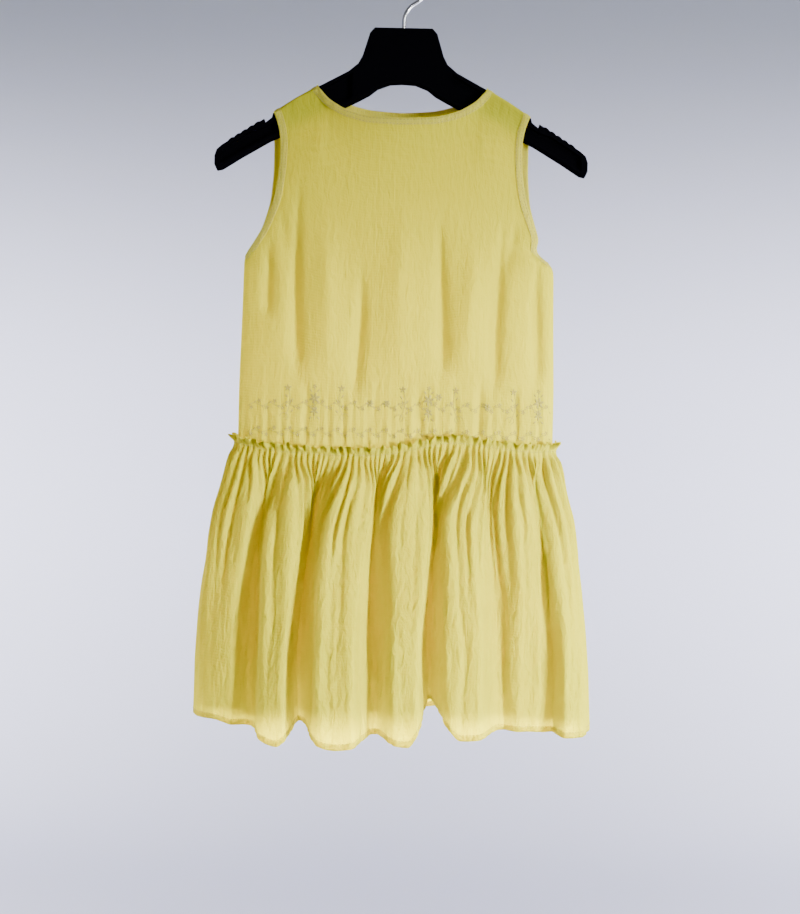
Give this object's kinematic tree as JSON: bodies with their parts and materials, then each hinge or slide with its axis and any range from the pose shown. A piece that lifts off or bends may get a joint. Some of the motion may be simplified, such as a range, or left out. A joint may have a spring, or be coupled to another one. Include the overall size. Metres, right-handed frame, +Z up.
{
  "type": "sundress on a clothes hanger",
  "caption": "Sleeveless child's sundress with scooped neck, bound armholes and gathered, lined skirt, hung on a moulded hanger with a wire hook.",
  "frame": {"origin": "inside of the hook's crown, where the rail bears", "axes": "+Z up along the hook's stem, +X across the dress to a viewer's right, the front facing -Y"},
  "size_m": [0.3752, 0.1933, 0.7184],
  "materials": {
    "yellow_cotton": "matte",
    "yellow_lining": "matte",
    "yellow_binding": "matte",
    "label_cloth": "matte",
    "black_plastic": "satin",
    "hook_steel": "polished"
  },
  "bodies": {
    "root": {"bodice_front": "yellow_cotton", "bodice_back": "yellow_cotton", "skirt_front": "yellow_cotton", "skirt_back": "yellow_cotton", "skirt_lining": "yellow_lining", "neck_binding": "yellow_binding", "armhole_binding_left": "yellow_binding", "armhole_binding_right": "yellow_binding", "neck_label": "label_cloth", "size_tab": "label_cloth", "hanger": "black_plastic", "hanger_hook": "hook_steel"}
  },
  "joints": []
}
